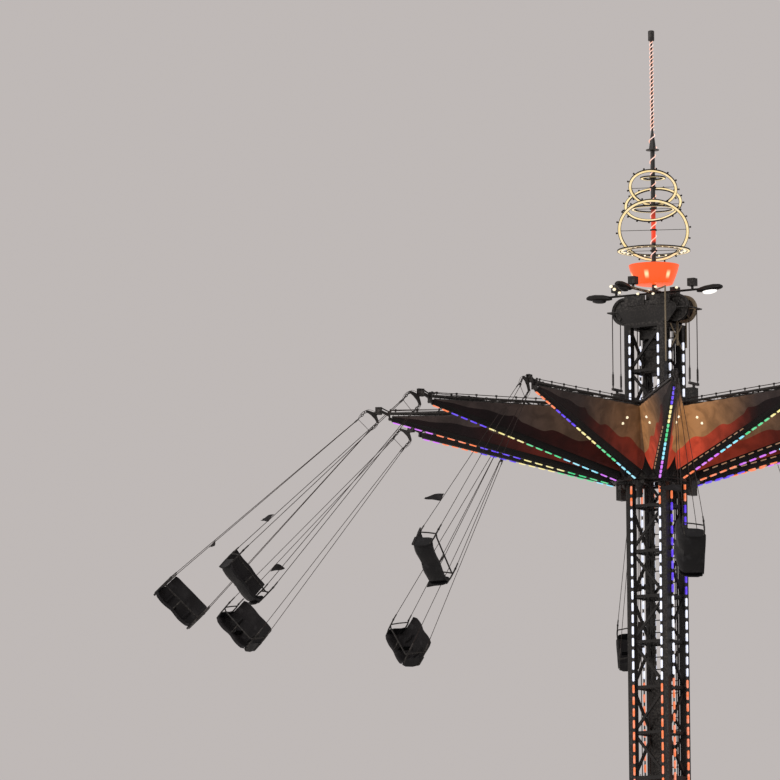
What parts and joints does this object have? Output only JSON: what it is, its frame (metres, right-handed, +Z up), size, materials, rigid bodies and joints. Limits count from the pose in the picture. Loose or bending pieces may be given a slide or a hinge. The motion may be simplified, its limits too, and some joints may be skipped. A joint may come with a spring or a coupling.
{
  "type": "tower chair swing ride",
  "caption": "Lattice tower with a climbing carriage and a rotating star canopy that swings double chairs on rope hangers, under a crown of lit hoops.",
  "frame": {"origin": "on the ground at the tower's centre", "axes": "+Z up the tower, X and Y square to the tower's faces"},
  "size_m": [24.4722, 24.4722, 33.3],
  "materials": {
    "lattice_steel": "satin",
    "dark_steel": "satin",
    "rope": "stranded",
    "chair_shell": "moulded",
    "crown_strip": "satin",
    "bowl": "translucent",
    "canopy_fabric": "matte"
  },
  "bodies": {
    "tower": {"base_frame": "dark_steel", "tower_section_1": "lattice_steel", "tower_section_2": "lattice_steel", "tower_section_3": "lattice_steel", "cable_column": "dark_steel", "tower_head": "dark_steel", "floodlights": "dark_steel", "crown_bowl": "bowl", "crown_mast": "lattice_steel", "crown_ring_low": "crown_strip", "crown_ring_middle": "crown_strip", "crown_ring_top": "crown_strip", "crown_hoop_low": "crown_strip", "crown_hoop_middle": "crown_strip", "crown_hoop_top": "crown_strip"},
    "sheave_left": {"sheaves_left": "dark_steel"},
    "sheave_right": {"sheaves_right": "dark_steel"},
    "carriage": {"carriage": "dark_steel", "hoist_ropes_left": "rope", "hoist_ropes_right": "rope"},
    "star": {"star_hub": "dark_steel", "canopy": "canopy_fabric", "arm_01": "lattice_steel", "arm_02": "lattice_steel", "arm_03": "lattice_steel", "arm_04": "lattice_steel", "arm_05": "lattice_steel", "arm_06": "lattice_steel", "arm_07": "lattice_steel", "arm_08": "lattice_steel", "arm_09": "lattice_steel", "arm_10": "lattice_steel", "arm_11": "lattice_steel", "arm_12": "lattice_steel"},
    "swing_01": {"hanger_01": "rope", "chair_01": "chair_shell"},
    "swing_02": {"hanger_02": "rope", "chair_02": "chair_shell"},
    "swing_03": {"hanger_03": "rope", "chair_03": "chair_shell"},
    "swing_04": {"hanger_04": "rope", "chair_04": "chair_shell"},
    "swing_05": {"hanger_05": "rope", "chair_05": "chair_shell"},
    "swing_06": {"hanger_06": "rope", "chair_06": "chair_shell"},
    "swing_07": {"hanger_07": "rope", "chair_07": "chair_shell"},
    "swing_08": {"hanger_08": "rope", "chair_08": "chair_shell"},
    "swing_09": {"hanger_09": "rope", "chair_09": "chair_shell"},
    "swing_10": {"hanger_10": "rope", "chair_10": "chair_shell"},
    "swing_11": {"hanger_11": "rope", "chair_11": "chair_shell"},
    "swing_12": {"hanger_12": "rope", "chair_12": "chair_shell"}
  },
  "joints": [
    {"name": "carriage_lift", "type": "slide", "parent": "tower", "child": "carriage", "axis": [0, 0, 1], "range_m": [-16.1, 0.8], "deforming": ["hoist_ropes_left", "hoist_ropes_right"]},
    {"name": "star_spin", "type": "hinge", "parent": "carriage", "child": "star", "pos_m": [0, 0, 22.15], "axis": [0, 0, 1], "continuous": true},
    {"name": "sheave_left_spin", "type": "hinge", "parent": "tower", "child": "sheave_left", "pos_m": [-0.72, 0, 26.35], "axis": [0, 1, 0], "continuous": true},
    {"name": "sheave_right_spin", "type": "hinge", "parent": "tower", "child": "sheave_right", "pos_m": [0.72, 0, 26.35], "axis": [0, 1, 0], "continuous": true},
    {"name": "swing_01", "type": "hinge", "parent": "star", "child": "swing_01", "pos_m": [0.33022, -6.75193, 23.9], "axis": [-0.9988, -0.0488, 0], "range_deg": [-46, 5]},
    {"name": "swing_02", "type": "hinge", "parent": "star", "child": "swing_02", "pos_m": [3.66195, -5.68223, 23.9], "axis": [-0.8406, -0.5417, 0], "range_deg": [-46, 5]},
    {"name": "swing_03", "type": "hinge", "parent": "star", "child": "swing_03", "pos_m": [6.01246, -3.08998, 23.9], "axis": [-0.4571, -0.8894, 0], "range_deg": [-46, 5]},
    {"name": "swing_04", "type": "hinge", "parent": "star", "child": "swing_04", "pos_m": [6.75193, 0.33022, 23.9], "axis": [0.0488, -0.9988, 0], "range_deg": [-46, 5]},
    {"name": "swing_05", "type": "hinge", "parent": "star", "child": "swing_05", "pos_m": [5.68223, 3.66195, 23.9], "axis": [0.5417, -0.8406, 0], "range_deg": [-46, 5]},
    {"name": "swing_06", "type": "hinge", "parent": "star", "child": "swing_06", "pos_m": [3.08998, 6.01246, 23.9], "axis": [0.8894, -0.4571, 0], "range_deg": [-46, 5]},
    {"name": "swing_07", "type": "hinge", "parent": "star", "child": "swing_07", "pos_m": [-0.33022, 6.75193, 23.9], "axis": [0.9988, 0.0488, 0], "range_deg": [-46, 5]},
    {"name": "swing_08", "type": "hinge", "parent": "star", "child": "swing_08", "pos_m": [-3.66195, 5.68223, 23.9], "axis": [0.8406, 0.5417, 0], "range_deg": [-46, 5]},
    {"name": "swing_09", "type": "hinge", "parent": "star", "child": "swing_09", "pos_m": [-6.01246, 3.08998, 23.9], "axis": [0.4571, 0.8894, 0], "range_deg": [-46, 5]},
    {"name": "swing_10", "type": "hinge", "parent": "star", "child": "swing_10", "pos_m": [-6.75193, -0.33022, 23.9], "axis": [-0.0488, 0.9988, 0], "range_deg": [-46, 5]},
    {"name": "swing_11", "type": "hinge", "parent": "star", "child": "swing_11", "pos_m": [-5.68223, -3.66195, 23.9], "axis": [-0.5417, 0.8406, 0], "range_deg": [-46, 5]},
    {"name": "swing_12", "type": "hinge", "parent": "star", "child": "swing_12", "pos_m": [-3.08998, -6.01246, 23.9], "axis": [-0.8894, 0.4571, 0], "range_deg": [-46, 5]}
  ]
}
